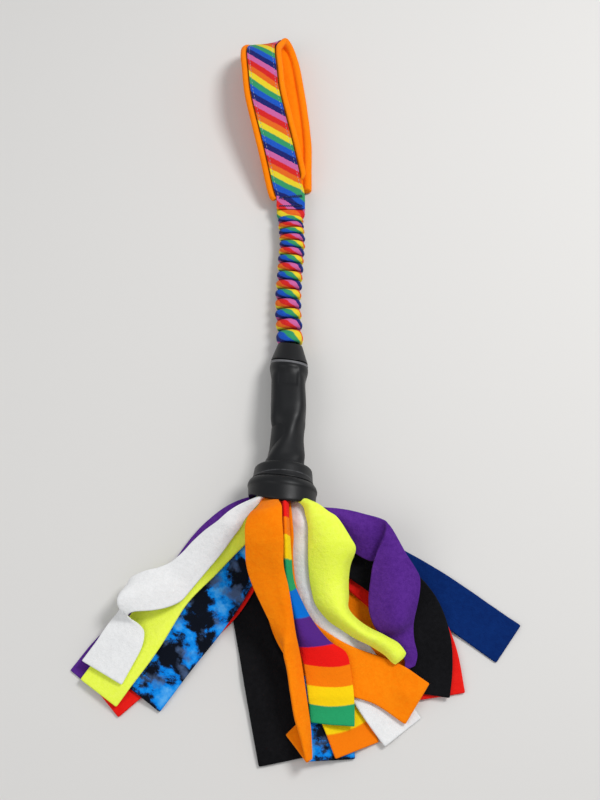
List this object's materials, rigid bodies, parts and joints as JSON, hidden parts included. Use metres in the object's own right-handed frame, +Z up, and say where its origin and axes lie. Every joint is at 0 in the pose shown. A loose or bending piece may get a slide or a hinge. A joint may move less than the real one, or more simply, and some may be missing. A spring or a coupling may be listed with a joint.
{
  "type": "dog tug toy",
  "caption": "Bungee dog tug: a padded ribbon handle loop, a gathered elastic sleeve, a rubber grip with a twisted barrel and a mouthpiece holding loose fleece strips.",
  "frame": {"origin": "on the floor, under the middle of the toy's bounding box as it lies", "axes": "+Y points from the fleece strips along the toy to the handle loop, +Z is up, and +X is to the right when looking along +Y"},
  "size_m": [0.3412, 0.638, 0.0572],
  "materials": {
    "rubber": "satin black dairy rubber",
    "elastic": "braid-covered elastic cord",
    "webbing_black": "woven nylon strap",
    "webbing": "woven nylon webbing",
    "ribbon": "grosgrain ribbon with slanting rainbow stripes",
    "thread_navy": "polyester thread",
    "fleece_navy": "anti-pill fleece",
    "fleece_black": "anti-pill fleece",
    "fleece_orange": "anti-pill fleece",
    "fleece_purple": "anti-pill fleece",
    "fleece_red": "anti-pill fleece",
    "fleece_dye": "anti-pill fleece printed in blue tie-dye",
    "fleece_rainbow": "anti-pill fleece printed in rainbow bands",
    "fleece_white": "anti-pill fleece",
    "fleece_yellow": "anti-pill fleece, neon yellow"
  },
  "bodies": {
    "grip": {"rubber_liner": "rubber", "fleece_bundle": "fleece_white", "anchor_strap": "webbing_black", "bungee_core_end": "elastic", "root_orange_left": "fleece_orange", "root_yellow_right": "fleece_yellow", "tail_navy_left": "fleece_navy", "tail_navy_right": "fleece_navy", "tail_black_left": "fleece_black", "tail_orange_low": "fleece_orange", "tail_red_right": "fleece_red", "tail_black_right": "fleece_black", "tail_purple_right": "fleece_purple", "tail_orange_centre": "fleece_orange", "tail_dye_bottom": "fleece_dye", "tail_purple_left": "fleece_purple", "tail_red_left": "fleece_red", "tail_dye_left": "fleece_dye", "tail_rainbow_second": "fleece_rainbow", "tail_white_right": "fleece_white", "tail_orange_right": "fleece_orange", "tail_yellow_left": "fleece_yellow", "tail_white_left": "fleece_white", "tail_rainbow_centre": "fleece_rainbow"},
    "bungee": {"bungee_sleeve_top": "ribbon", "bungee_sleeve_back": "ribbon"},
    "bungee_end": {"bungee_core": "elastic"},
    "handle": {"handle_webbing": "webbing", "handle_ribbon": "ribbon", "handle_lining": "fleece_orange", "bungee_sewn_end": "ribbon", "bartack_thread": "thread_navy"},
    "orange_tail": {"tail_orange_left": "fleece_orange"},
    "yellow_tail": {"tail_yellow_right": "fleece_yellow"}
  },
  "joints": [
    {"name": "bungee_bend", "type": "hinge", "parent": "grip", "child": "bungee", "pos_m": [-0.006, 0.015, 0.01331], "axis": [0, 0, 1], "range_deg": [-60, 60]},
    {"name": "bungee_stretch", "type": "slide", "parent": "bungee", "child": "bungee_end", "axis": [0, 1, 0], "range_m": [0, 0.06], "stiffness_N_per_m": 800, "deforming": ["bungee_sleeve_top", "bungee_sleeve_back", "bungee_core"]},
    {"name": "handle_swing", "type": "hinge", "parent": "bungee_end", "child": "handle", "pos_m": [-0.006, 0.14309, 0.009], "axis": [1, 0, 0], "range_deg": [0, 75]},
    {"name": "orange_tail_lift", "type": "hinge", "parent": "grip", "child": "orange_tail", "pos_m": [-0.02065, -0.13276, 0.0497], "axis": [-0.9739, 0.227, 0], "range_deg": [0, 35]},
    {"name": "yellow_tail_lift", "type": "hinge", "parent": "grip", "child": "yellow_tail", "pos_m": [0.00297, -0.13009, 0.0508], "axis": [-0.5519, -0.8339, 0], "range_deg": [0, 35]}
  ]
}
